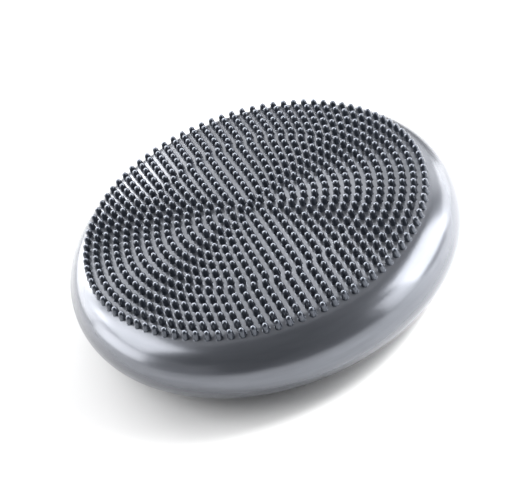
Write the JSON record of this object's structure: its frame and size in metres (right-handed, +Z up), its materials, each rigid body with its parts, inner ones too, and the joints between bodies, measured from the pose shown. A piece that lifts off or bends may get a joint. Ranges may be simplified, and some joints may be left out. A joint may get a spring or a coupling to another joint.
{
  "type": "inflatable balance disc",
  "caption": "Round air-filled balance cushion with shallow domed faces, a full-round rim and concentric rings of massage nubs on top.",
  "frame": {"origin": "centre of the flat foot on the underside, which the disc rests on", "axes": "+Z up through the nubbed face; +Y towards the valve in the rim; the nub rings are counted from +X, the inner ten half a step on from it and the outer six a sixth of a step"},
  "size_m": [0.33, 0.33, 0.0847],
  "materials": {
    "skin": "silver-grey pearl soft PVC, satin gloss",
    "nubs": "the same silver-grey pearl PVC, moulded with the skin",
    "bumps": "the same silver-grey pearl PVC, moulded with the skin",
    "valve_rubber": "matt black rubber",
    "valve_plug": "dark grey soft plastic"
  },
  "bodies": {
    "base": {"lower_shell": "skin", "shoulder_wall": "skin", "valve_body": "valve_rubber", "underside_bump_ring_01": "bumps", "underside_bump_ring_02": "bumps", "underside_bump_ring_03": "bumps", "underside_bump_ring_04": "bumps"},
    "top": {"upper_panel": "skin", "nub_centre": "nubs", "nub_ring_01": "nubs", "nub_ring_02": "nubs", "nub_ring_03": "nubs", "nub_ring_04": "nubs", "nub_ring_05": "nubs", "nub_ring_06": "nubs", "nub_ring_07": "nubs", "nub_ring_08": "nubs", "nub_ring_09": "nubs", "nub_ring_10": "nubs", "nub_ring_11": "nubs", "nub_ring_12": "nubs", "nub_ring_13": "nubs", "nub_ring_14": "nubs", "nub_ring_15": "nubs", "nub_ring_16": "nubs"},
    "plug": {"valve_plug": "valve_plug"}
  },
  "joints": [
    {"name": "top_press", "type": "slide", "parent": "base", "child": "top", "axis": [0, 0, 1], "range_m": [-0.018, 0], "stiffness_N_per_m": 40000, "deforming": ["shoulder_wall"]},
    {"name": "valve_plug_pull", "type": "slide", "parent": "base", "child": "plug", "axis": [0, 0.866, -0.5], "range_m": [0, 0.016]}
  ]
}
